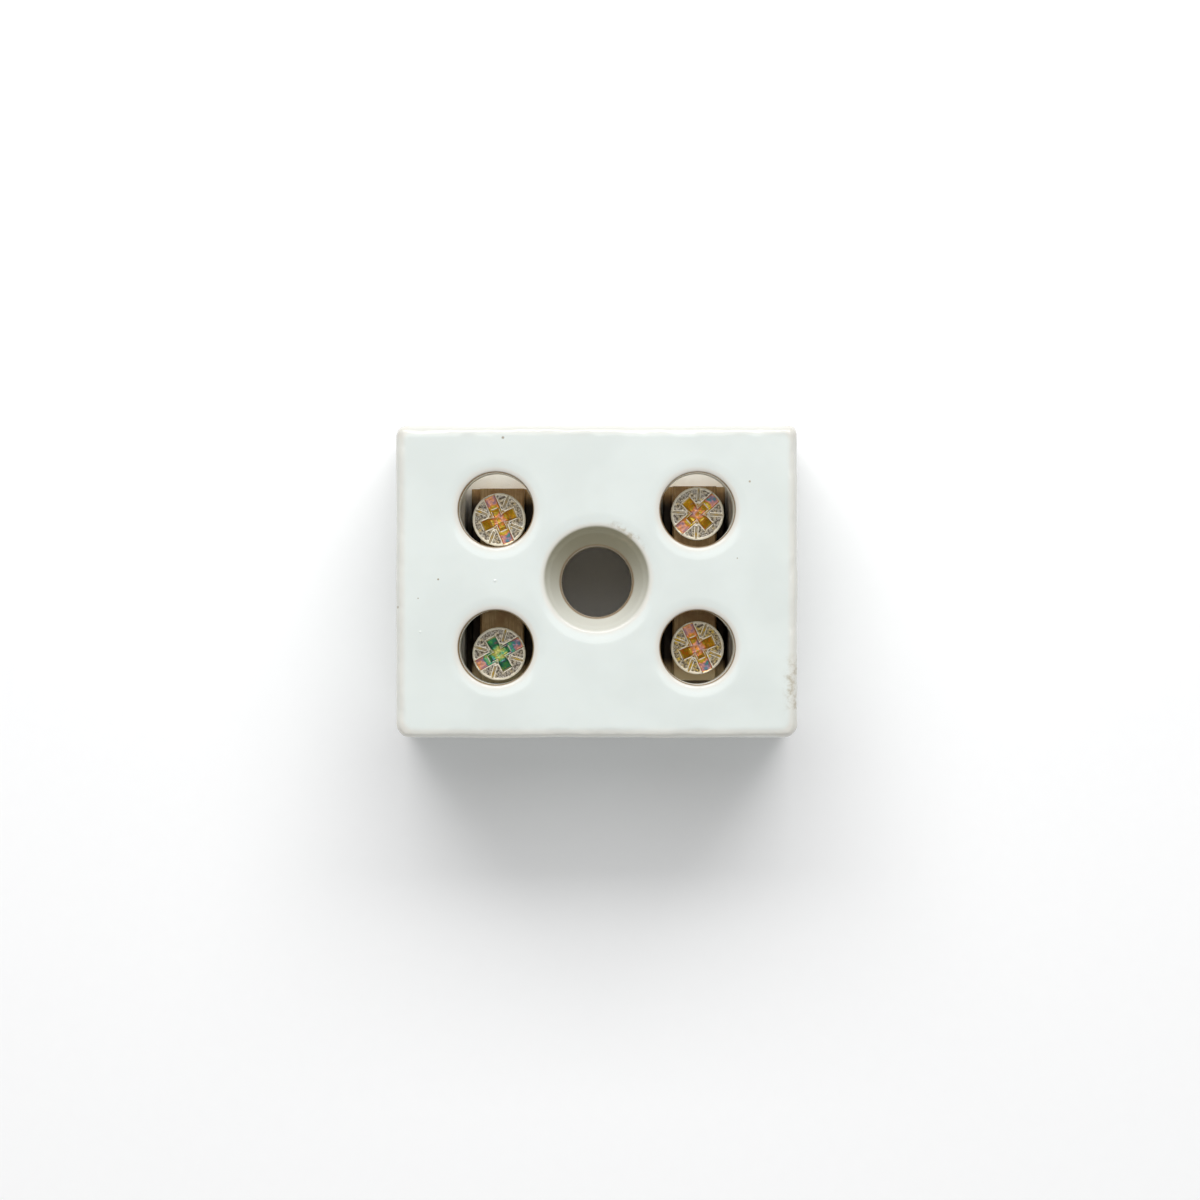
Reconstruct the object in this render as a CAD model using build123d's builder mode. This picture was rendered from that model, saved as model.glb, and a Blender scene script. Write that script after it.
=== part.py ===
"""Two-pole porcelain screw terminal block: a glazed body, two loose brass bars and four clamp screws.

Millimetres. +X runs along the long side, +Y to the rear and +Z up. The origin is the centre of the underside.
"""

import os

from build123d import *

# Ceramic body
body_length = 36.0
body_width = 28.0
body_height = 20.0
front_corner_radius = 1.25
rear_corner_radius = 0.8
top_round = 0.75
base_round = 0.4
# the upper die sits a little to the rear of the lower one, so the wells and the countersink are off centre
die_shift = 0.27

# Screw wells
well_radius = 3.33
well_x = 9.04
well_y = 6.18
well_floor = 10.2
well_lip = 0.3

# Channels for bars and wires, open at the front and at the rear
channel_outer_side = 3.0
channel_inner_side = 3.45
channel_floor = 4.8
channel_roof = 11.6
channel_corner = 0.4
mouth_round = 0.4

# Fixing hole
hole_radius = 3.2
countersink_radius = 4.7
countersink_depth = 2.6
countersink_lip = 0.3

# Relief in the underside
relief_depth = 0.8
relief_rim = 2.4
relief_corner = 1.5
boss_radius = 5.6

# Brass bars: a wide foot around the wire bore, and a narrower neck that is tapped for the screws
bar_length = 17.7
bar_clearance = 0.1
bar_height = 6.0
foot_width = 5.7
foot_height = 2.6
neck_width = 4.0
bar_edge = 0.15
wire_bore_radius = 1.6
wire_bore_height = 2.2
bore_mouth = 0.25
tapped_radius = 1.5
screw_pitch = 12.15

# Clamp screws, M3
shank_radius = 1.45
shank_tip = 8.75
tip_chamfer = 0.3
head_radius = 2.375
head_underside = 12.6
head_top = 14.5
head_edge = 0.2
slot_width = 0.8
slot_depth = 0.85
recess_span = 3.5
recess_arm = 0.95
recess_middle = 0.8
recess_depth = 1.35
recess_taper = 14
tick_width = 0.14
tick_depth = 0.1
tick_start = 1.0

# Where the loose pieces have come to rest: each bar's middle, the middle of its tapped holes, which are drilled
# a little off the bar's own, and the angles of the slots
bar_x = {"left": -well_x + 0.42, "right": well_x - 0.12}
bar_y = {"left": -0.33, "right": -0.12}
holes_x = {"left": -well_x + 0.19, "right": well_x + 0.08}
holes_y = {"left": -0.45, "right": 0.10}
slot_angles = {"left": {"rear": -67, "front": 29}, "right": {"rear": 41.5, "front": -66}}
row_side = {"rear": 1, "front": -1}

well_places = [(side * well_x, die_shift + row * well_y) for side in (-1, 1) for row in (-1, 1)]
channel_width = channel_outer_side + channel_inner_side
channel_x = well_x + (channel_outer_side - channel_inner_side) / 2
bar_bottom = channel_floor + bar_clearance
bar_top = bar_bottom + bar_height


def edges_at_height(height):
    """The edges of the piece in hand that lie flat at one height."""
    return edges().filter_by_position(Axis.Z, height - 0.01, height + 0.01)


def rims_at_height(height, radius):
    """The circular edges of one radius at one height."""
    circles = edges_at_height(height).filter_by(GeomType.CIRCLE)
    return circles.filter_by(lambda rim: abs(rim.radius - radius) < 0.01)


with BuildPart() as ceramic_body:
    with BuildSketch(Plane.XY):
        Rectangle(body_length, body_width)
        fillet(vertices().group_by(Axis.Y)[0], front_corner_radius)
        fillet(vertices().group_by(Axis.Y)[-1], rear_corner_radius)
    extrude(amount=body_height)
    fillet(edges_at_height(body_height), top_round)
    fillet(edges_at_height(0), base_round)

    # the channels run right through from front to rear, one under each pair of wells
    with BuildSketch(Plane.XZ):
        with Locations(*[(side * channel_x, (channel_floor + channel_roof) / 2) for side in (-1, 1)]):
            RectangleRounded(channel_width, channel_roof - channel_floor, channel_corner)
    extrude(amount=body_width, both=True, mode=Mode.SUBTRACT)
    mouths = faces().filter_by(Axis.Y).group_by(Axis.Y)
    mouth_wires = mouths[0].wires() + mouths[-1].wires()
    fillet(mouth_wires.filter_by(lambda w: w.bounding_box().size.X < body_length / 2).edges(), mouth_round)

    # the wells open into the channels from above
    with BuildSketch(Plane.XY.offset(well_floor)):
        with Locations(*well_places):
            Circle(well_radius)
    extrude(amount=body_height, mode=Mode.SUBTRACT)
    fillet(rims_at_height(body_height, well_radius), well_lip)

    # the fixing hole is countersunk from above
    with BuildSketch(Plane.XY):
        Circle(hole_radius)
    extrude(amount=body_height, mode=Mode.SUBTRACT)
    with BuildSketch(Plane.XY.offset(body_height - countersink_depth)):
        Circle(hole_radius)
    with BuildSketch(Plane.XY.offset(body_height)):
        with Locations((0, die_shift)):
            Circle(countersink_radius)
    loft(mode=Mode.SUBTRACT)
    fillet(rims_at_height(body_height, countersink_radius), countersink_lip)

    # a shallow relief leaves a rim and a boss for the block to stand on
    with BuildSketch(Plane.XY):
        RectangleRounded(body_length - 2 * relief_rim, body_width - 2 * relief_rim, relief_corner)
        Circle(boss_radius, mode=Mode.SUBTRACT)
    extrude(amount=relief_depth, mode=Mode.SUBTRACT)


def make_terminal_bar(x, y, tapped_x, tapped_y):
    """One brass bar, sawn from a drawn inverted-T section, bored end to end and tapped twice."""
    front = Plane.XZ.offset(bar_length / 2 - y)
    with BuildPart() as bar:
        with BuildSketch(front):
            with Locations((x, bar_bottom)):
                Rectangle(foot_width, foot_height, align=(Align.CENTER, Align.MIN))
                Rectangle(neck_width, bar_height, align=(Align.CENTER, Align.MIN))
        extrude(amount=-bar_length)
        chamfer(edges().filter_by(Axis.Y), bar_edge)
        with BuildSketch(front):
            with Locations((x, bar_bottom + wire_bore_height)):
                Circle(wire_bore_radius)
        extrude(amount=-bar_length, mode=Mode.SUBTRACT)
        chamfer(edges().filter_by(GeomType.CIRCLE), bore_mouth)
        with BuildSketch(Plane.XY.offset(bar_bottom + wire_bore_height)):
            with Locations((tapped_x, tapped_y - screw_pitch / 2), (tapped_x, tapped_y + screw_pitch / 2)):
                Circle(tapped_radius)
        extrude(amount=bar_height, mode=Mode.SUBTRACT)
    return bar.part


def make_clamp_screw(x, y, slot_angle):
    """One M3 screw with a cheese head that takes a flat or a cross-point driver."""
    seat = Plane(origin=(x, y, 0)).rotated((0, 0, slot_angle))
    with BuildPart() as screw:
        with BuildSketch(seat.offset(head_underside)):
            Circle(head_radius)
        extrude(amount=head_top - head_underside)
        chamfer(edges_at_height(head_top), head_edge)
        with BuildSketch(seat.offset(shank_tip)):
            Circle(shank_radius)
        extrude(amount=head_underside - shank_tip)
        chamfer(edges_at_height(shank_tip), tip_chamfer)
        with BuildSketch(seat.offset(head_top)):
            Rectangle(2 * head_radius + 1, slot_width)
        extrude(amount=-slot_depth, mode=Mode.SUBTRACT)
        with BuildSketch(seat.offset(head_top)):
            Rectangle(recess_span, recess_arm)
            Rectangle(recess_arm, recess_span)
            Circle(recess_middle)
        extrude(amount=-recess_depth, taper=recess_taper, mode=Mode.SUBTRACT)
        with BuildSketch(seat.offset(head_top)):
            with PolarLocations(0, 4, start_angle=45):
                with Locations(((tick_start + head_radius) / 2, 0)):
                    Rectangle(head_radius - tick_start, tick_width)
        extrude(amount=-tick_depth, mode=Mode.SUBTRACT)
    return screw.part


pieces = {"ceramic_body": ceramic_body.part}
for side in ("left", "right"):
    bar = make_terminal_bar(bar_x[side], bar_y[side], holes_x[side], holes_y[side])
    pieces[f"terminal_bar_{side}"] = bar
    for row in ("rear", "front"):
        screw_y = holes_y[side] + row_side[row] * screw_pitch / 2
        screw = make_clamp_screw(holes_x[side], screw_y, slot_angles[side][row])
        pieces[f"clamp_screw_{side}_{row}"] = screw

os.makedirs("parts", exist_ok=True)
for name, piece in pieces.items():
    piece.label = name
    export_step(piece, f"parts/{name}.step")
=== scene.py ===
import math

import bmesh
import bpy
from mathutils import Matrix, Vector


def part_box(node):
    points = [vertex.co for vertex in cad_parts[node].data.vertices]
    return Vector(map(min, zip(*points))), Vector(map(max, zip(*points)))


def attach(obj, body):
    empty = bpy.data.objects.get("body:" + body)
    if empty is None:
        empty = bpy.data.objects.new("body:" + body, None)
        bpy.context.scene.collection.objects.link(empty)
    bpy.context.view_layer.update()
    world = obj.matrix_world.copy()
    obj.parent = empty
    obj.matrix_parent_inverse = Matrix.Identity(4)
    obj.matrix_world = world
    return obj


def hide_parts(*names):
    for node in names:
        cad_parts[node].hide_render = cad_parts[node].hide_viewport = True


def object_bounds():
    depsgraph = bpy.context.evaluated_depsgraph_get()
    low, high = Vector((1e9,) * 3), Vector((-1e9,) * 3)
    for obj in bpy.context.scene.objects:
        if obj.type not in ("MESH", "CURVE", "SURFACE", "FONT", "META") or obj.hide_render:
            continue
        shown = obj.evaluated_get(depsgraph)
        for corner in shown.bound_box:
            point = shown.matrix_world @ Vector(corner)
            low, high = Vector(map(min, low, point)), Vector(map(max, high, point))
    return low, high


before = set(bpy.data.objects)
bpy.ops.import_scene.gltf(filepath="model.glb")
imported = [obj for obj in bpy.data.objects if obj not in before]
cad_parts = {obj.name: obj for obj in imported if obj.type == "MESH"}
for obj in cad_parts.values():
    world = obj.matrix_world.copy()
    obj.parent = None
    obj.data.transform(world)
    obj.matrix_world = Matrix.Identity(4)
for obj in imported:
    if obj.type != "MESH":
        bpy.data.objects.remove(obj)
cad_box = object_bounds()


# --- Studio -----------------------------------------------------------------------------------------------
# The block stands on matt white paper. A wide softbox stands behind it, a larger one hangs higher up on the
# same side and a weak one fills the front, and the camera looks straight down from half a metre.
MM = 0.001
low, high = cad_box
block_centre = (low + high) / 2
camera_height = 500 * MM
camera_x = 0.3 * MM
camera_y = -1.65 * MM
frame_span = 107.5 * MM
sensor_width = 36

camera = bpy.data.objects.new("camera", bpy.data.cameras.new("camera"))
camera.location = (camera_x, camera_y, high.z + camera_height)
camera.data.sensor_width = sensor_width
camera.data.lens = sensor_width * camera_height / frame_span
camera.data.clip_start = 0.01
camera.data.clip_end = 10
bpy.context.scene.collection.objects.link(camera)
bpy.context.scene.camera = camera
bpy.context.scene.view_settings.view_transform = "Standard"


def add_light(name, place, size, watts):
    """A soft rectangular light at a place, turned to face the block."""
    data = bpy.data.lights.new(name, "AREA")
    data.shape = "RECTANGLE"
    data.size, data.size_y = size
    data.energy = watts
    light = bpy.data.objects.new(name, data)
    light.location = place
    light.rotation_euler = (block_centre - Vector(place)).to_track_quat("-Z", "Y").to_euler()
    bpy.context.scene.collection.objects.link(light)


add_light("rear_softbox", place=(0, 0.35, 0.355), size=(0.6, 0.24), watts=1.9)
add_light("high_softbox", place=(0, 0.40, 0.85), size=(0.9, 0.6), watts=2.8)
add_light("front_fill", place=(0, -0.55, 0.50), size=(0.8, 0.4), watts=0.8)


def hex_colour(code):
    """An sRGB hex value as linear red, green, blue and alpha."""
    channels = [int(code[i:i + 2], 16) / 255 for i in (0, 2, 4)]
    return [c / 12.92 if c <= 0.04045 else ((c + 0.055) / 1.055) ** 2.4 for c in channels] + [1]


def add_node(tree, kind, *values, named=None, **settings):
    """Adds a node with its settings. An input takes a value, a hex colour, or a node or socket to feed it."""
    node = tree.nodes.new(kind)
    for name, value in settings.items():
        setattr(node, name, value)
    inputs = list(zip([socket for socket in node.inputs if socket.enabled], values))
    inputs += [(node.inputs[name], value) for name, value in (named or {}).items()]
    for socket, value in inputs:
        if isinstance(value, bpy.types.Node):
            value = next(output for output in value.outputs if output.enabled)
        if isinstance(value, bpy.types.NodeSocket):
            tree.links.new(value, socket)
        elif value is not None:
            socket.default_value = hex_colour(value) if socket.type == "RGBA" else value
    return node


def new_material(name):
    """A material with an empty node tree."""
    material = bpy.data.materials.new(name)
    material.use_nodes = True
    material.node_tree.nodes.clear()
    return material, material.node_tree


room_brightness = 0.34
world = bpy.data.worlds.new("studio")
world.use_nodes = True
room_light = world.node_tree.nodes["Background"].inputs
room_light["Color"].default_value = hex_colour("f4f5f6")
room_light["Strength"].default_value = room_brightness
bpy.context.scene.world = world

# matt white paper, pulp with a faint mottle of fibres: an even, pale ground that takes soft shadows
fibre_length = 1.5 * MM
paper_reach = 3
paper, tree = new_material("matt_white_paper")
place = add_node(tree, "ShaderNodeTexCoord").outputs["Object"]
fibres = add_node(tree, "ShaderNodeTexNoise", place, 1 / fibre_length)
colour = add_node(tree, "ShaderNodeMix", fibres, "f9f9f9", "fbfbfb", data_type="RGBA")
shade = add_node(tree, "ShaderNodeBsdfPrincipled", colour, named={"Roughness": 0.9})
add_node(tree, "ShaderNodeOutputMaterial", shade)
mesh = bpy.data.meshes.new("floor")
corners = [(x * paper_reach, y * paper_reach, 0) for x, y in ((-1, -1), (1, -1), (1, 1), (-1, 1))]
mesh.from_pydata(corners, [], [(0, 1, 2, 3)])
mesh.materials.append(paper)
floor = bpy.data.objects.new("floor", mesh)
bpy.context.scene.collection.objects.link(floor)


# --- Ceramic body -----------------------------------------------------------------------------------------
# One pressed and fired block of white porcelain. It is dipped in clear glaze, which pools on the flats,
# rounds every edge and runs thin over the corners. The underside, the fixing hole, the wells below their lips
# and the channels stay bare.
well_x = 9.04 * MM
well_y = 6.18 * MM
well_radius = 3.33 * MM
channel_x = 8.815 * MM
sink_radius = 4.7 * MM
hole_radius = 3.2 * MM
die_shift = 0.27 * MM
top = high.z


def distance(tree, place, middle, folded):
    """How far a place is from an upright axis or, folded, from the nearest of four axes placed alike."""
    place = add_node(tree, "ShaderNodeVectorMath", place, (0, die_shift, 0), operation="SUBTRACT")
    if folded:
        place = add_node(tree, "ShaderNodeVectorMath", place, operation="ABSOLUTE")
    place = add_node(tree, "ShaderNodeVectorMath", place, middle, operation="SUBTRACT")
    place = add_node(tree, "ShaderNodeVectorMath", place, (1, 1, 0), operation="MULTIPLY")
    return add_node(tree, "ShaderNodeVectorMath", place, operation="LENGTH").outputs["Value"]


def zone(tree, *limits):
    """A mask of where all limits hold. A limit is a value, where it starts to hold and where it fully does."""
    mask = None
    for value, start, full in limits:
        step = add_node(tree, "ShaderNodeMapRange", value, start, full, interpolation_type="SMOOTHSTEP")
        mask = add_node(tree, "ShaderNodeMath", mask, step, operation="MULTIPLY") if mask else step
    return mask


# glazed porcelain, dipped and fired: cool white, glossy and a little translucent
glaze, tree = new_material("glazed_porcelain")
place = add_node(tree, "ShaderNodeTexCoord").outputs["Object"]
axes = add_node(tree, "ShaderNodeSeparateXYZ", place).outputs
from_well = distance(tree, place, (well_x, well_y, 0), folded=True)
from_sink = distance(tree, place, (0, 0, 0), folded=False)
from_hole = distance(tree, place, (0, -die_shift, 0), folded=False)
from_middle = add_node(tree, "ShaderNodeMath", axes["Y"], operation="ABSOLUTE")
aside = add_node(tree, "ShaderNodeMath", axes["X"], operation="ABSOLUTE")
off_channel = add_node(tree, "ShaderNodeMath", aside, channel_x, operation="SUBTRACT")
off_channel = add_node(tree, "ShaderNodeMath", off_channel, operation="ABSOLUTE")
thin_glaze = add_node(tree, "ShaderNodeAttribute", attribute_name="thin_glaze").outputs["Fac"]

pool_length = 7 * MM
pooled = add_node(tree, "ShaderNodeTexNoise", place, 1 / pool_length, 3.0)
pooled = zone(tree, (pooled, 0.35, 0.65))
colour = add_node(tree, "ShaderNodeMix", pooled, "e2e8e4", "dde3df", data_type="RGBA")
colour = add_node(tree, "ShaderNodeMix", thin_glaze, colour, "dedcd4", data_type="RGBA")

# the cone of the countersink is thinly glazed over grey clay, with painted shade darkening it towards the rear
cone = zone(tree, (from_sink, sink_radius + 0.2 * MM, sink_radius - 0.1 * MM),
            (axes["Z"], top, top - 0.3 * MM), (axes["Z"], top - 3 * MM, top - 2.7 * MM))
towards_rear = zone(tree, (axes["Y"], -4 * MM, 4.5 * MM))
cone_clay_and_shade = add_node(tree, "ShaderNodeMix", towards_rear, "d9d9cf", "97937c", data_type="RGBA")
colour = add_node(tree, "ShaderNodeMix", cone, colour, cone_clay_and_shade, data_type="RGBA")

# iron specks in the clay: fine ones scattered, and a few larger that burst at the surface
speck_spacing = 2.6 * MM
chance_length = 1.7 * MM
cells = add_node(tree, "ShaderNodeTexVoronoi", place, named={"Scale": 1 / speck_spacing})
chance = add_node(tree, "ShaderNodeTexNoise", cells.outputs["Position"], 1 / chance_length, 0.0)
fine_speck = zone(tree, (cells.outputs["Distance"], 0.05, 0.025), (chance, 0.68, 0.69))
colour = add_node(tree, "ShaderNodeMix", fine_speck, colour, "b5ab9b", data_type="RGBA")
# each larger speck's middle and radius in millimetres
large_specks = [((-14.2, 0.2, 20.0), 0.12), ((-17.8, -2.3, 19.6), 0.16), ((-16.0, -1.5, 20.0), 0.08),
                ((-8.4, 12.9, 19.9), 0.2), ((12.6, 2.1, 20.0), 0.08)]
for middle, radius in large_specks:
    away = add_node(tree, "ShaderNodeVectorMath", place, Vector(middle) * MM, operation="DISTANCE")
    speck = zone(tree, (away.outputs["Value"], radius * MM, radius * 0.4 * MM))
    colour = add_node(tree, "ShaderNodeMix", speck, colour, "a09683", data_type="RGBA")

# finger grime: rubbed into the right-hand edge, and smeared at the rear of the countersink
smear_length = 0.8 * MM
smear = add_node(tree, "ShaderNodeTexNoise", place, 1 / smear_length, 5.0, 0.7)
at_edge = (Vector((17.7, -9.4, 19.8)) * MM, 3.4 * MM, (axes["X"], 16.4 * MM, 17.6 * MM))
at_sink = (Vector((2.9, 4.4, 19.9)) * MM, 2.6 * MM, (from_sink, 5.6 * MM, 5.0 * MM))
for middle, reach, border in (at_edge, at_sink):
    away = add_node(tree, "ShaderNodeVectorMath", place, middle, operation="DISTANCE")
    grime_and_shade = zone(tree, (smear, 0.42, 0.75), (away.outputs["Value"], reach, 1.0 * MM), border)
    colour = add_node(tree, "ShaderNodeMix", grime_and_shade, colour, "aba087", data_type="RGBA")

# a thin brown line just inside each well's rim, and again at the foot of the countersink
well_line = ((from_well, well_radius + 0.16 * MM, well_radius + 0.04 * MM),
             (axes["Z"], top - 1.1 * MM, top - 0.7 * MM))
hole_line = ((from_hole, hole_radius + 0.24 * MM, hole_radius + 0.06 * MM),
             (axes["Z"], top - 3.6 * MM, top - 3 * MM))
for line in (well_line, hole_line):
    colour = add_node(tree, "ShaderNodeMix", zone(tree, *line), colour, "8b7150", data_type="RGBA")

# bare clay: clean at the channels' mouths and on the underside; deep in the channels, near black as painted
# shade
mottle_length = 0.9 * MM
clay = add_node(tree, "ShaderNodeTexNoise", place, 1 / mottle_length, 4.0)
clay = add_node(tree, "ShaderNodeMix", clay, "f6f5ee", "eae8dd", data_type="RGBA")
channel_height = ((axes["Z"], 12.2 * MM, 11.4 * MM), (axes["Z"], 4.2 * MM, 4.6 * MM))
channel = ((off_channel, 3.7 * MM, 3.4 * MM), *channel_height, (from_middle, 13.9 * MM, 13.3 * MM))
hole = ((from_hole, hole_radius + 0.3 * MM, hole_radius + 0.1 * MM),
        (axes["Z"], top - 2.4 * MM, top - 3 * MM))
well_wall = ((from_well, well_radius + 0.4 * MM, well_radius + 0.3 * MM),
             (axes["Z"], top - 0.8 * MM, top - 1.6 * MM), (axes["Z"], 9.8 * MM, 10 * MM))
channel_shade = zone(tree, (axes["Y"], 8.4 * MM, 4.4 * MM), (axes["Y"], -12.4 * MM, -10.4 * MM),
                    (off_channel, 3.3 * MM, 3.1 * MM), *channel_height)
in_hole = zone(tree, *hole)
clay = add_node(tree, "ShaderNodeMix", channel_shade, clay, "6b5f4d", data_type="RGBA")
clay = add_node(tree, "ShaderNodeMix", in_hole, clay, "dcd6c8", data_type="RGBA")
bare = zone(tree, (axes["Z"], 0.5 * MM, 0.25 * MM))
for bare_zone in (zone(tree, *channel), in_hole, zone(tree, *well_wall)):
    bare = add_node(tree, "ShaderNodeMath", bare, bare_zone, operation="MAXIMUM")
colour = add_node(tree, "ShaderNodeMix", bare, colour, clay, data_type="RGBA")

# the glaze has a soft ripple and a few pimples, and the bare clay a fine grain
ripple_length = 1.6 * MM
grain_length = 0.12 * MM
ripple = add_node(tree, "ShaderNodeTexNoise", place, 1 / ripple_length, 3.0)
grain = add_node(tree, "ShaderNodeTexNoise", place, 1 / grain_length, 3.0)
pimple = zone(tree, (cells.outputs["Distance"], 0.07, 0.0), (chance, 0.4, 0.38))
bump = add_node(tree, "ShaderNodeBump", named={"Strength": 0.2, "Distance": 0.03 * MM, "Height": ripple})
bump = add_node(tree, "ShaderNodeBump", named={"Distance": 0.06 * MM, "Height": pimple, "Normal": bump})
bump = add_node(tree, "ShaderNodeBump", named={
    "Strength": bare, "Distance": 0.02 * MM, "Height": grain, "Normal": bump,
})

glaze_roughness = 0.1
clay_roughness = 0.82
cone_dullness = 0.35
glaze_ior = 1.5
dull = add_node(tree, "ShaderNodeMath", cone, cone_dullness, operation="MULTIPLY")
dull = add_node(tree, "ShaderNodeMath", bare, dull, operation="MAXIMUM")
roughness = add_node(tree, "ShaderNodeMapRange", dull, 0.0, 1.0, glaze_roughness, clay_roughness)
shade = add_node(tree, "ShaderNodeBsdfPrincipled", colour, named={
    "Roughness": roughness, "IOR": glaze_ior, "Normal": bump, "Subsurface Weight": 0.12,
    "Subsurface Radius": (1.0, 0.92, 0.8), "Subsurface Scale": 0.8 * MM,
})
add_node(tree, "ShaderNodeOutputMaterial", shade)


def new_tree(name, sockets):
    """A geometry node tree with a mesh going in and out, and named inputs."""
    tree = bpy.data.node_groups.new(name, "GeometryNodeTree")
    tree.interface.new_socket("Geometry", in_out="OUTPUT", socket_type="NodeSocketGeometry")
    tree.interface.new_socket("Geometry", in_out="INPUT", socket_type="NodeSocketGeometry")
    for label, kind in sockets.items():
        tree.interface.new_socket(label, in_out="INPUT", socket_type="NodeSocket" + kind)
    return tree, tree.nodes.new("NodeGroupInput").outputs


def run_tree(piece, tree, values):
    """Adds a node tree to a piece and sets its named inputs."""
    modifier = piece.modifiers.new(tree.name, "NODES")
    modifier.node_group = tree
    for socket in tree.interface.items_tree:
        if socket.in_out == "INPUT" and socket.name in values:
            modifier[socket.identifier] = values[socket.name]


def add_skin(piece, voxel, passes):
    """Wraps a piece in one closed skin and melts its sharp edges."""
    skin = piece.modifiers.new("skin", "REMESH")
    skin.mode = "VOXEL"
    skin.voxel_size = voxel
    skin.use_smooth_shade = True
    melt = piece.modifiers.new("melt", "SMOOTH")
    melt.factor = 0.5
    melt.iterations = passes


def settle(piece):
    """Turns a piece and its modifiers into one plain mesh."""
    depsgraph = bpy.context.evaluated_depsgraph_get()
    mesh = bpy.data.meshes.new_from_object(piece.evaluated_get(depsgraph))
    piece.modifiers.clear()
    piece.data = mesh
    mesh.name = piece.name


# the glaze coat: slow swells over the whole skin, finer ones along the outer edges, and a shallow dish round
# the wells' and the countersink's rims
coat, given = new_tree("glaze_coat", {
    "Swell Height": "Float", "Swell Length": "Float", "Edge Swell Height": "Float",
    "Edge Swell Length": "Float", "Dish Depth": "Float", "Dish Width": "Float", "Glaze": "Material",
})
position = add_node(coat, "GeometryNodeInputPosition")
normal = add_node(coat, "GeometryNodeInputNormal")
flattened = add_node(coat, "GeometryNodeBlurAttribute", position, 14, data_type="FLOAT_VECTOR")
stands_out = add_node(coat, "ShaderNodeVectorMath", position, flattened, operation="SUBTRACT")
stands_out = add_node(coat, "ShaderNodeVectorMath", stands_out, normal, operation="DOT_PRODUCT")
edges = zone(coat, (stands_out.outputs["Value"], 0.006 * MM, 0.06 * MM))
stored = add_node(coat, "GeometryNodeStoreNamedAttribute", data_type="FLOAT", domain="POINT", named={
    "Geometry": given["Geometry"], "Name": "thin_glaze", "Value": edges,
})
swells = []
for label in ("Swell", "Edge Swell"):
    density = add_node(coat, "ShaderNodeMath", 1.0, given[label + " Length"], operation="DIVIDE")
    swell = add_node(coat, "ShaderNodeTexNoise", position, density, 2.0)
    swell = add_node(coat, "ShaderNodeMath", swell, 0.55, operation="SUBTRACT")
    swells.append(add_node(coat, "ShaderNodeMath", swell, given[label + " Height"], operation="MULTIPLY"))
edges = add_node(coat, "GeometryNodeInputNamedAttribute", "thin_glaze", data_type="FLOAT")
height = add_node(coat, "ShaderNodeSeparateXYZ", position).outputs["Z"]
rim_wells = distance(coat, position, (well_x, well_y, 0), folded=True)
rim_wells = add_node(coat, "ShaderNodeMath", rim_wells, well_radius, operation="SUBTRACT")
rim_sink = distance(coat, position, (0, 0, 0), folded=False)
rim_sink = add_node(coat, "ShaderNodeMath", rim_sink, sink_radius, operation="SUBTRACT")
from_rim = add_node(coat, "ShaderNodeMath", rim_wells, rim_sink, operation="MINIMUM")
off_rims = zone(coat, (from_rim, 0.8 * MM, 1.6 * MM))
outer_edges = add_node(coat, "ShaderNodeMath", edges, off_rims, operation="MULTIPLY")
push = add_node(coat, "ShaderNodeMath", swells[1], outer_edges, swells[0], operation="MULTIPLY_ADD")
above_base = zone(coat, (height, 0.6 * MM, 1.6 * MM))
push = add_node(coat, "ShaderNodeMath", push, above_base, operation="MULTIPLY")
dish = add_node(coat, "ShaderNodeMath", from_rim, given["Dish Width"], operation="DIVIDE")
dish = zone(coat, (dish, 1.0, 0.0), (height, top - 1.0 * MM, top - 0.3 * MM))
dish = add_node(coat, "ShaderNodeMath", dish, given["Dish Depth"], operation="MULTIPLY")
lowered = add_node(coat, "ShaderNodeMath", dish, -1.0, operation="MULTIPLY")
lowered = add_node(coat, "ShaderNodeCombineXYZ", named={"Z": lowered})
offset = add_node(coat, "ShaderNodeVectorMath", normal, operation="SCALE", named={"Scale": push})
offset = add_node(coat, "ShaderNodeVectorMath", offset, lowered, operation="ADD")
waved = add_node(coat, "GeometryNodeSetPosition", named={"Geometry": stored, "Offset": offset})
realized = add_node(coat, "GeometryNodeRealizeInstances", waved)
painted = add_node(coat, "GeometryNodeSetMaterial", named={"Geometry": realized, "Material": given["Glaze"]})
add_node(coat, "NodeGroupOutput", painted)

kept_faces = 0.26
porcelain = bpy.data.objects.new("porcelain_block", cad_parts["ceramic_body"].data.copy())
bpy.context.scene.collection.objects.link(porcelain)
welded = bmesh.new()
welded.from_mesh(porcelain.data)
bmesh.ops.remove_doubles(welded, verts=welded.verts, dist=0.001 * MM)
welded.to_mesh(porcelain.data)
welded.free()
porcelain.data.materials.clear()
add_skin(porcelain, voxel=0.14 * MM, passes=4)
run_tree(porcelain, coat, {
    "Swell Height": 0.16 * MM, "Swell Length": 7 * MM, "Edge Swell Height": 0.46 * MM,
    "Edge Swell Length": 2.6 * MM, "Dish Depth": 0.13 * MM, "Dish Width": 1.3 * MM, "Glaze": glaze,
})
porcelain.modifiers.new("lighter", "DECIMATE").ratio = kept_faces
settle(porcelain)
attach(porcelain, "block")
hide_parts("ceramic_body")


# --- Terminal bars ----------------------------------------------------------------------------------------
# Two lengths sawn from drawn brass bar, dull from handling, with fine draw lines along them. They lie loose
# in the channels, held only by the screws' heads in the wells.
line_width = 0.09 * MM
line_stretch = (1, 0.04, 1)
tarnish_length = 1.6 * MM

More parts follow.
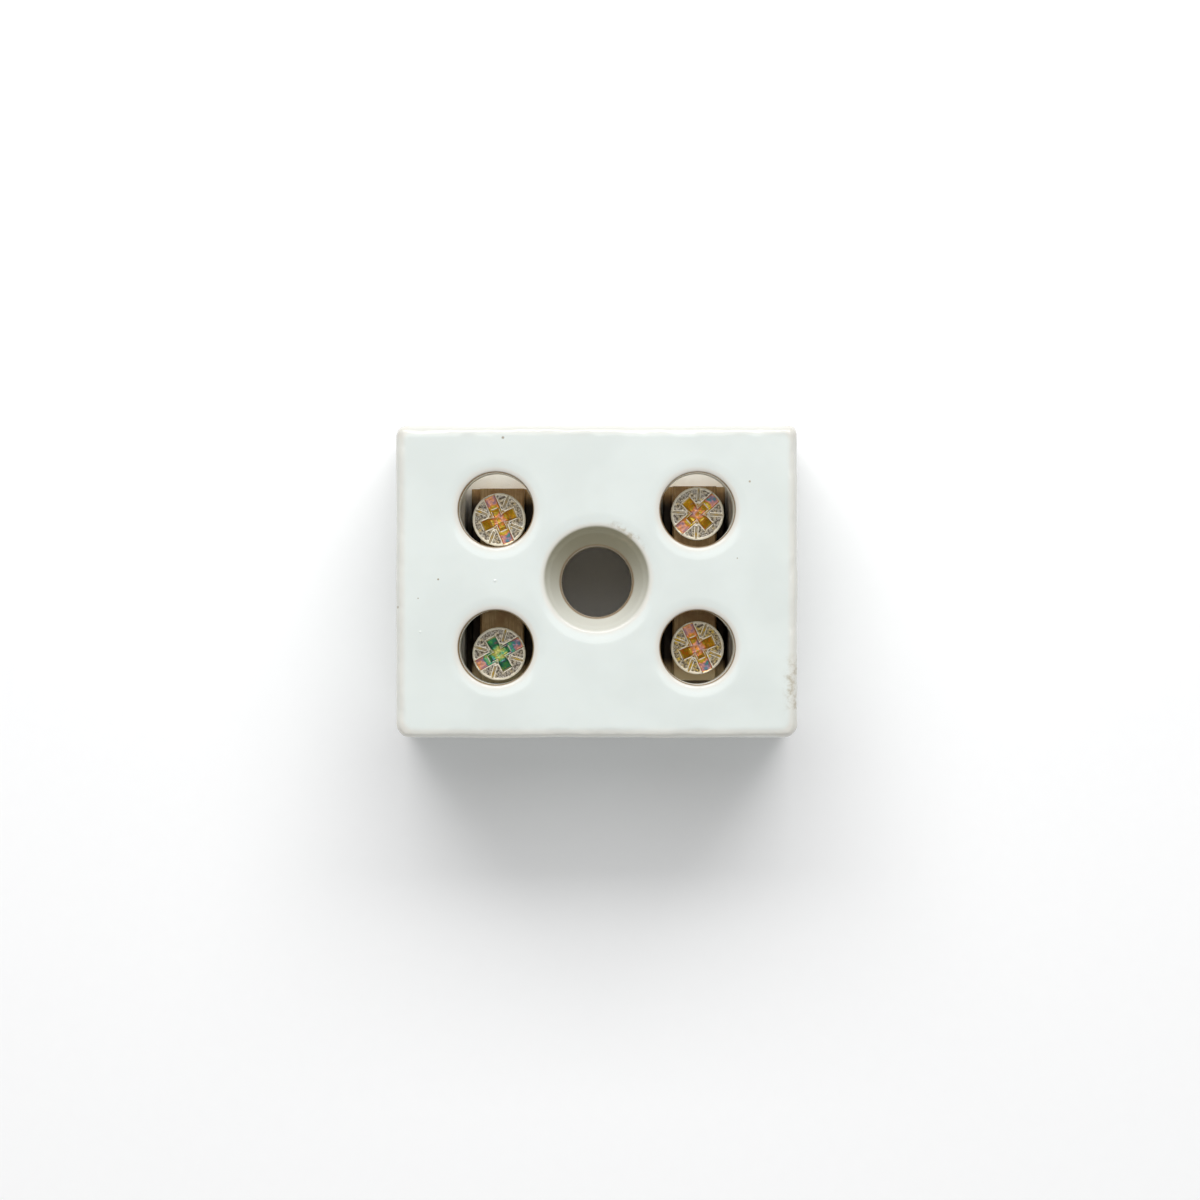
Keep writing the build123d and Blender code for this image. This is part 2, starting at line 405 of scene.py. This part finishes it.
# drawn brass: a brownish yellow with a dull sheen, streaked along the bar by the die and clouded by tarnish
brass, tree = new_material("drawn_brass")
place = add_node(tree, "ShaderNodeTexCoord").outputs["Object"]
along = add_node(tree, "ShaderNodeVectorMath", place, line_stretch, operation="MULTIPLY")
lines = add_node(tree, "ShaderNodeTexNoise", along, 1 / line_width, 4.0, 0.65)
tarnish = add_node(tree, "ShaderNodeTexNoise", place, 1 / tarnish_length, 4.0, 0.6)
tarnish = zone(tree, (tarnish, 0.35, 0.7))
colour = add_node(tree, "ShaderNodeMix", tarnish, "e6c795", "b98f64", data_type="RGBA")
colour = add_node(tree, "ShaderNodeMix", zone(tree, (lines, 0.35, 0.7)), colour, "c19c70", data_type="RGBA")

# painted shade: near black low down and away from the ends; painted light: pale at the front end
axes = add_node(tree, "ShaderNodeSeparateXYZ", place).outputs
from_middle = add_node(tree, "ShaderNodeMath", axes["Y"], operation="ABSOLUTE")
grime_and_shade = zone(tree, (axes["Z"], 10.4 * MM, 8.8 * MM), (from_middle, 8.4 * MM, 6.8 * MM))
colour = add_node(tree, "ShaderNodeMix", grime_and_shade, colour, "41352a", data_type="RGBA")
painted_front_light = zone(tree, (axes["Y"], -7.2 * MM, -8.6 * MM))
colour = add_node(tree, "ShaderNodeMix", painted_front_light, colour, "f3dfb4", data_type="RGBA")

bump = add_node(tree, "ShaderNodeBump", named={"Strength": 0.35, "Distance": 0.01 * MM, "Height": lines})
roughness = add_node(tree, "ShaderNodeMapRange", lines, 0.0, 1.0, 0.3, 0.55)
shade = add_node(tree, "ShaderNodeBsdfPrincipled", colour, 0.5, roughness, named={"Normal": bump})
add_node(tree, "ShaderNodeOutputMaterial", shade)
for side in ("left", "right"):
    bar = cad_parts[f"terminal_bar_{side}"]
    bar.data.materials.clear()
    bar.data.materials.append(brass)


# --- Clamp screws -----------------------------------------------------------------------------------------
# Four M3 steel screws with low cheese heads, cold headed with a slot and a cross recess, then thread rolled.
# The zinc plating has a yellow chromate film, whose colour runs from gold to violet and green as it thickens.
form, given = new_tree("clamp_screw", {
    "Head Radius": "Float", "Head Height": "Float", "Edge Round": "Float", "Shank Length": "Float",
    "Core Radius": "Float", "Ridge Height": "Float", "Pitch": "Float", "Turns": "Float", "Slot": "Vector",
    "Slot Draft": "Vector", "Wing": "Vector", "Wing Draft": "Vector", "Point Radius": "Float",
    "Point Depth": "Float", "Tick": "Vector", "Tick Middle": "Float", "Metal": "Material",
})

# head and core as one turned shape: each step is a part of the head's height and rounding, and what is added
underside = add_node(form, "ShaderNodeMath", given["Head Height"], -1.0, operation="MULTIPLY")
tip = add_node(form, "ShaderNodeMath", underside, given["Shank Length"], operation="SUBTRACT")
outline = [
    (tip, 0.0, given["Core Radius"], -0.3 * MM), (tip, 0.35 * MM, given["Core Radius"], 0.0),
    (underside, -0.004 * MM, given["Core Radius"], 0.0), (underside, 0.0, given["Head Radius"], -0.1 * MM),
    (underside, 0.1 * MM, given["Head Radius"], 0.0),
]
for drop, inset in ((-1.0, 0.0), (-0.45, -0.25), (-0.12, -0.7), (0.0, -1.3)):
    level = add_node(form, "ShaderNodeMath", given["Edge Round"], drop, operation="MULTIPLY")
    reach = add_node(form, "ShaderNodeMath", given["Edge Round"], inset, operation="MULTIPLY")
    reach = add_node(form, "ShaderNodeMath", reach, given["Head Radius"], operation="ADD")
    outline.append((level, 0.0, reach, 0.0))
heights = add_node(form, "GeometryNodeIndexSwitch", data_type="FLOAT")
radii = add_node(form, "GeometryNodeIndexSwitch", data_type="FLOAT")
index = add_node(form, "GeometryNodeInputIndex").outputs[0]
for switch, first in ((heights, 0), (radii, 2)):
    while len(switch.index_switch_items) < len(outline):
        switch.index_switch_items.new()
    form.links.new(index, switch.inputs[0])
    for socket, step in zip(switch.inputs[1:], outline):
        value = add_node(form, "ShaderNodeMath", step[first], step[first + 1], operation="ADD")
        form.links.new(value.outputs[0], socket)
line = add_node(form, "GeometryNodeMeshLine", len(outline))
upright = add_node(form, "ShaderNodeCombineXYZ", named={"Z": heights})
line = add_node(form, "GeometryNodeSetPosition", named={"Geometry": line, "Position": upright})
path = add_node(form, "GeometryNodeMeshToCurve", line)
ring = add_node(form, "GeometryNodeCurvePrimitiveCircle", named={"Resolution": 96, "Radius": 1.0})
punched = add_node(form, "GeometryNodeCurveToMesh", named={
    "Curve": path, "Profile Curve": ring, "Scale": radii, "Fill Caps": True,
})

# the rolled thread, a low ridge wound round the core
rise = add_node(form, "ShaderNodeMath", given["Turns"], given["Pitch"], operation="MULTIPLY")
helix = add_node(form, "GeometryNodeCurveSpiral", named={
    "Resolution": 40, "Rotations": given["Turns"], "Start Radius": given["Core Radius"],
    "End Radius": given["Core Radius"], "Height": rise,
})
helix = add_node(form, "GeometryNodeSetCurveNormal", named={"Curve": helix}, mode="Z_UP")
ridge = add_node(form, "GeometryNodeCurvePrimitiveCircle", named={
    "Resolution": 4, "Radius": given["Ridge Height"],
})
thread = add_node(form, "GeometryNodeCurveToMesh", named={
    "Curve": helix, "Profile Curve": ridge, "Fill Caps": True,
})
start = add_node(form, "ShaderNodeMath", tip, 0.45 * MM, operation="ADD")
start = add_node(form, "ShaderNodeCombineXYZ", named={"Z": start})
thread = add_node(form, "GeometryNodeTransform", named={"Geometry": thread, "Translation": start})

# what the heading punch leaves: the slot, the cross with its pointed middle, and four ticks between the arms
cutters = []
for label, angles in (("Slot", (0,)), ("Wing", (0, 90))):
    cube = add_node(form, "GeometryNodeMeshCube", given[label])
    spot = add_node(form, "GeometryNodeInputPosition")
    lower = add_node(form, "ShaderNodeSeparateXYZ", spot).outputs["Z"]
    lower = add_node(form, "ShaderNodeMath", lower, 0.0, operation="LESS_THAN")
    outward = add_node(form, "ShaderNodeVectorMath", spot, operation="SIGN")
    outward = add_node(form, "ShaderNodeVectorMath", outward, given[label + " Draft"], operation="MULTIPLY")
    drawn_in = add_node(form, "ShaderNodeMath", lower, -1.0, operation="MULTIPLY")
    drawn_in = add_node(form, "ShaderNodeVectorMath", outward, drawn_in, operation="MULTIPLY")
    cube = add_node(form, "GeometryNodeSetPosition", named={"Geometry": cube, "Offset": drawn_in})
    for angle in angles:
        turn = (0, 0, math.radians(angle))
        cutters.append(add_node(form, "GeometryNodeTransform", named={"Geometry": cube, "Rotation": turn}))
point = add_node(form, "GeometryNodeMeshCone", named={
    "Vertices": 32, "Radius Bottom": 0.2 * MM, "Radius Top": given["Point Radius"],
    "Depth": given["Point Depth"],
})
sunk = add_node(form, "ShaderNodeMath", given["Point Depth"], -0.8, operation="MULTIPLY")
sunk = add_node(form, "ShaderNodeCombineXYZ", named={"Z": sunk})
cutters.append(add_node(form, "GeometryNodeTransform", named={"Geometry": point, "Translation": sunk}))
tick = add_node(form, "GeometryNodeMeshCube", given["Tick"])
outward = add_node(form, "ShaderNodeCombineXYZ", given["Tick Middle"], 0.0, 0.03 * MM)
tick = add_node(form, "GeometryNodeTransform", named={
    "Geometry": tick, "Translation": outward, "Rotation": (math.pi / 4, 0, 0),
})
for angle in (45, 135, 225, 315):
    turn = (0, 0, math.radians(angle))
    cutters.append(add_node(form, "GeometryNodeTransform", named={"Geometry": tick, "Rotation": turn}))
cut = {"operation": "DIFFERENCE", "solver": "EXACT"}
for cutter in cutters:
    punched = add_node(form, "GeometryNodeMeshBoolean", punched, cutter, **cut)
whole = add_node(form, "GeometryNodeJoinGeometry", punched)
form.links.new(thread.outputs[0], whole.inputs[0])
realized = add_node(form, "GeometryNodeRealizeInstances", whole)
painted = add_node(form, "GeometryNodeSetMaterial", named={"Geometry": realized, "Material": given["Metal"]})
add_node(form, "NodeGroupOutput", painted)

# yellow chromated zinc, dipped after plating: a shiny film over a dark mottle, with a near-white painted
# highlight along the edges that stick out. The film's colour follows its thickness.
cloud_length = 0.5 * MM
fleck_length = 0.2 * MM
zinc_roughness = 0.3
zinc, tree = new_material("yellow_chromated_zinc")
local = add_node(tree, "ShaderNodeAttribute", attribute_name="screw_place").outputs["Vector"]
film = add_node(tree, "ShaderNodeAttribute", attribute_name="film").outputs["Fac"]
cloud = add_node(tree, "ShaderNodeTexNoise", local, 1 / cloud_length, 3.0)
cloud = add_node(tree, "ShaderNodeMapRange", cloud, 0.3, 0.7, -0.14, 0.14)
film = add_node(tree, "ShaderNodeMath", film, cloud, operation="ADD")
colours = add_node(tree, "ShaderNodeValToRGB", film)
stops = [
    (0.0, "c4bdb0"), (0.10, "cbbfa8"), (0.20, "cdb580"), (0.28, "ecc648"), (0.38, "b9a838"), (0.46, "e58c38"),
    (0.56, "e8a88e"), (0.64, "c08c94"), (0.72, "6f86a0"), (0.78, "4aa08e"), (0.88, "6cbb7c"), (1.0, "dbd873"),
]
while len(colours.color_ramp.elements) < len(stops):
    colours.color_ramp.elements.new(0.5)
for element, (at, code) in zip(colours.color_ramp.elements, stops):
    element.position = at
    element.color = hex_colour(code)
height = add_node(tree, "ShaderNodeSeparateXYZ", local).outputs["Z"]
mottle = add_node(tree, "ShaderNodeTexNoise", local, 1 / fleck_length, 4.0, 0.7)
flecks = zone(tree, (mottle, 0.42, 0.6), (height, -0.08 * MM, -0.04 * MM))
colour = add_node(tree, "ShaderNodeMix", flecks, colours, "554b40", data_type="RGBA")
# painted highlight: edges that stick out turn near white and less metallic
burr_and_highlight = add_node(tree, "ShaderNodeAttribute", attribute_name="burr_and_highlight").outputs["Fac"]
colour = add_node(tree, "ShaderNodeMix", burr_and_highlight, colour, "fbf4e4", data_type="RGBA")
metallic = add_node(tree, "ShaderNodeMapRange", burr_and_highlight, 0.0, 1.0, 0.8, 0.3)
bump = add_node(tree, "ShaderNodeBump", named={"Strength": 0.5, "Distance": 0.02 * MM, "Height": mottle})
shade = add_node(tree, "ShaderNodeBsdfPrincipled", colour, metallic, zinc_roughness, named={"Normal": bump})
add_node(tree, "ShaderNodeOutputMaterial", shade)

# the plating thickens into a burr along every edge that sticks out, and roughens the flats a little; the same
# edge mask gives the material its painted highlight
plating, given = new_tree("plating", {
    "Burr": "Float", "Grain Height": "Float", "Grain Length": "Float", "Metal": "Material",
})
position = add_node(plating, "GeometryNodeInputPosition")
normal = add_node(plating, "GeometryNodeInputNormal")
flattened = add_node(plating, "GeometryNodeBlurAttribute", position, 8, data_type="FLOAT_VECTOR")
stands_out = add_node(plating, "ShaderNodeVectorMath", position, flattened, operation="SUBTRACT")
stands_out = add_node(plating, "ShaderNodeVectorMath", stands_out, normal, operation="DOT_PRODUCT")
burr_and_highlight = zone(plating, (stands_out.outputs["Value"], 0.003 * MM, 0.008 * MM))
stored = add_node(plating, "GeometryNodeStoreNamedAttribute", data_type="FLOAT", domain="POINT", named={
    "Geometry": given["Geometry"], "Name": "burr_and_highlight", "Value": burr_and_highlight,
})
burr_and_highlight = add_node(plating, "GeometryNodeInputNamedAttribute", "burr_and_highlight", data_type="FLOAT")
burr_and_highlight = add_node(plating, "ShaderNodeMath", burr_and_highlight, given["Burr"], operation="MULTIPLY")
density = add_node(plating, "ShaderNodeMath", 1.0, given["Grain Length"], operation="DIVIDE")
rough = add_node(plating, "ShaderNodeTexNoise", position, density, 2.0)
rough = add_node(plating, "ShaderNodeMath", rough, 0.5, operation="SUBTRACT")
push = add_node(plating, "ShaderNodeMath", rough, given["Grain Height"], burr_and_highlight, operation="MULTIPLY_ADD")
offset = add_node(plating, "ShaderNodeVectorMath", normal, operation="SCALE", named={"Scale": push})
plated = add_node(plating, "GeometryNodeSetPosition", named={"Geometry": stored, "Offset": offset})
realized = add_node(plating, "GeometryNodeRealizeInstances", plated)
painted = add_node(plating, "GeometryNodeSetMaterial", named={
    "Geometry": realized, "Material": given["Metal"],
})
add_node(plating, "NodeGroupOutput", painted)


def smooth_step(value, start, full):
    """Rises smoothly from 0 to 1 as a value goes from start to full."""
    part = min(max((value - start) / (full - start), 0), 1)
    return part * part * (3 - 2 * part)


def film_thickness(spot, facing, on_top, in_cross):
    """The film's thickness, from 0 to 1: thin on the head's top, and thick in the slot and in the cross."""
    radius = spot.xy.length
    sunk = smooth_step(spot.z, -0.08 * MM, -0.22 * MM) * smooth_step(radius, 2.3 * MM, 2.2 * MM)
    slot_end = smooth_step(radius, 1.3 * MM, 1.6 * MM) * smooth_step(abs(spot.y), 0.56 * MM, 0.5 * MM)
    slot_film = 0.46 + 0.17 * smooth_step(facing.z, 0.7, 0.95) * smooth_step(spot.z, -0.5 * MM, -0.65 * MM)
    off_arms = smooth_step(min(abs(spot.x), abs(spot.y)), 0.1 * MM, 0.3 * MM)
    middle = smooth_step(radius, 0.9 * MM, 0.45 * MM) * (0.6 + 0.4 * off_arms)
    wing_film = 0.28 + 0.1 * smooth_step(radius, 0.9 * MM, 1.5 * MM) + in_cross
    cross_film = wing_film + middle * (0.56 + in_cross - wing_film)
    return on_top + sunk * (slot_end * slot_film + (1 - slot_end) * cross_film - on_top)


# each screw's slot angle in degrees, its film on the head's top, and how much thicker the cross's film is
finish = {
    "left_rear": (-67, 0.08, 0.0), "left_front": (29, 0.04, 0.5),
    "right_rear": (41.5, 0.06, 0.02), "right_front": (-66, 0.17, 0.05),
}
head_height = 1.9 * MM
pitch = 0.5 * MM
unthreaded = 0.7 * MM
for seat, (angle, on_top, in_cross) in finish.items():
    screw_low, screw_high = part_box(f"clamp_screw_{seat}")
    head_radius = (screw_high.x - screw_low.x) / 2
    shank_length = screw_high.z - screw_low.z - head_height
    screw = bpy.data.objects.new(f"plated_screw_{seat}", bpy.data.meshes.new("blank"))
    bpy.context.scene.collection.objects.link(screw)
    run_tree(screw, form, {
        "Head Radius": head_radius, "Head Height": head_height, "Edge Round": 0.15 * MM,
        "Shank Length": shank_length, "Core Radius": 1.22 * MM, "Ridge Height": 0.24 * MM,
        "Pitch": pitch, "Turns": (shank_length - unthreaded) / pitch,
        "Slot": (2.2 * head_radius, 1.2 * MM, 1.4 * MM), "Slot Draft": (0, 0.12 * MM, 0),
        "Wing": (5.1 * MM, 1.36 * MM, 2.1 * MM), "Wing Draft": (1.8 * MM, 0.38 * MM, 0),
        "Point Radius": 1.15 * MM, "Point Depth": 1.35 * MM,
        "Tick": (1.5 * MM, 0.24 * MM, 0.24 * MM), "Tick Middle": 1.9 * MM, "Metal": zinc,
    })
    add_skin(screw, voxel=0.04 * MM, passes=1)
    run_tree(screw, plating, {
        "Burr": 0.03 * MM, "Grain Height": 0.05 * MM, "Grain Length": 0.22 * MM, "Metal": zinc,
    })
    settle(screw)
    film_there = screw.data.attributes.new("film", "FLOAT", "POINT")
    own_place = screw.data.attributes.new("screw_place", "FLOAT_VECTOR", "POINT")
    for vertex in screw.data.vertices:
        film_there.data[vertex.index].value = film_thickness(vertex.co, vertex.normal, on_top, in_cross)
        own_place.data[vertex.index].vector = vertex.co
    middle = (screw_low + screw_high) / 2
    turned = Matrix.Rotation(math.radians(angle), 4, "Z")
    screw.data.transform(Matrix.Translation((middle.x, middle.y, screw_high.z)) @ turned)
    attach(screw, f"screw_{seat}")
    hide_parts(f"clamp_screw_{seat}")
